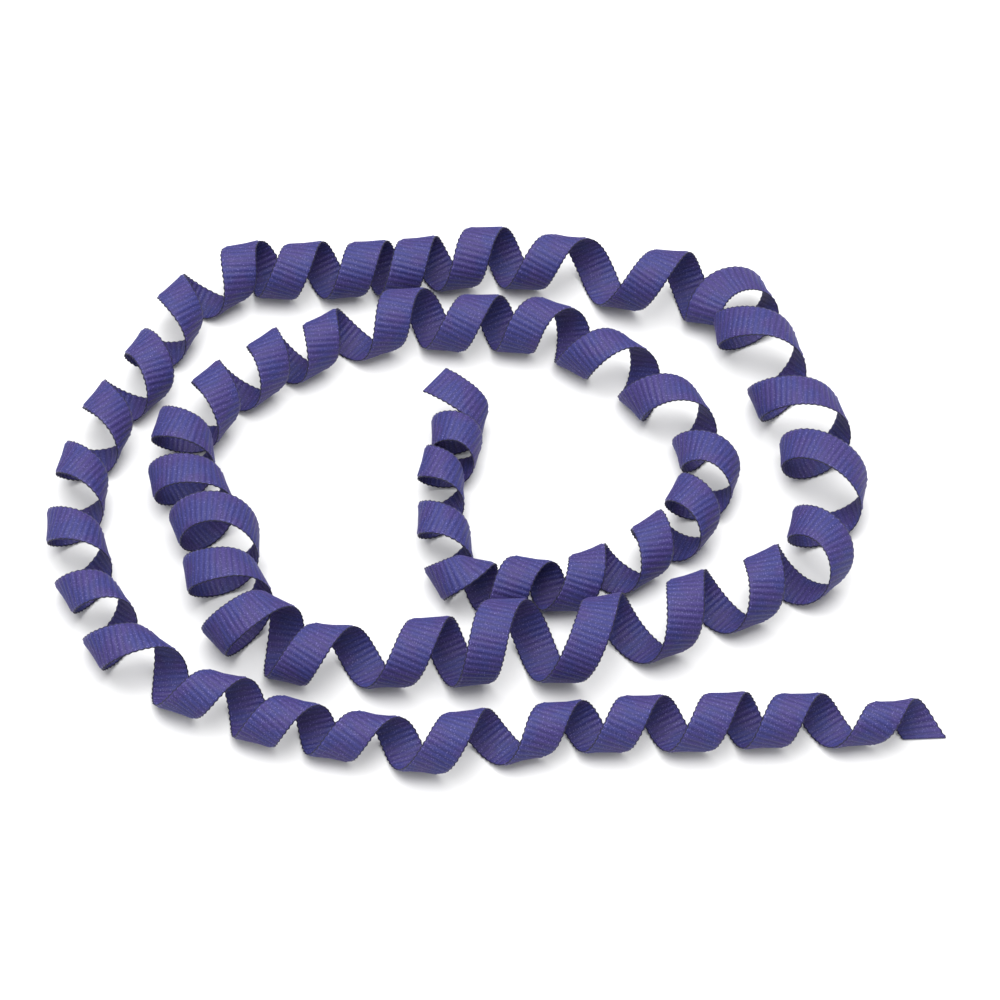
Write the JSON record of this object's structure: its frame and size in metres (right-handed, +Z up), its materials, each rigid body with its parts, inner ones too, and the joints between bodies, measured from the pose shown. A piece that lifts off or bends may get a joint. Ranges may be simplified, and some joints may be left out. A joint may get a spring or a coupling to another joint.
{
  "type": "curled ribbon",
  "caption": "Narrow grosgrain ribbon curled like a corkscrew and laid down in a loose spiral, for trimming, wrapping and hair bows.",
  "frame": {"origin": "centre of the footprint, on the surface that the ribbon lies on", "axes": "+X along the longest extent, from the inner end's side towards the outer free end; +Y away from the front row; +Z up"},
  "size_m": [0.2282, 0.1754, 0.0211],
  "materials": {
    "ribbon": "matt indigo yarn with raised cross ribs"
  },
  "bodies": {
    "root": {"ribbon": "ribbon"}
  },
  "joints": []
}
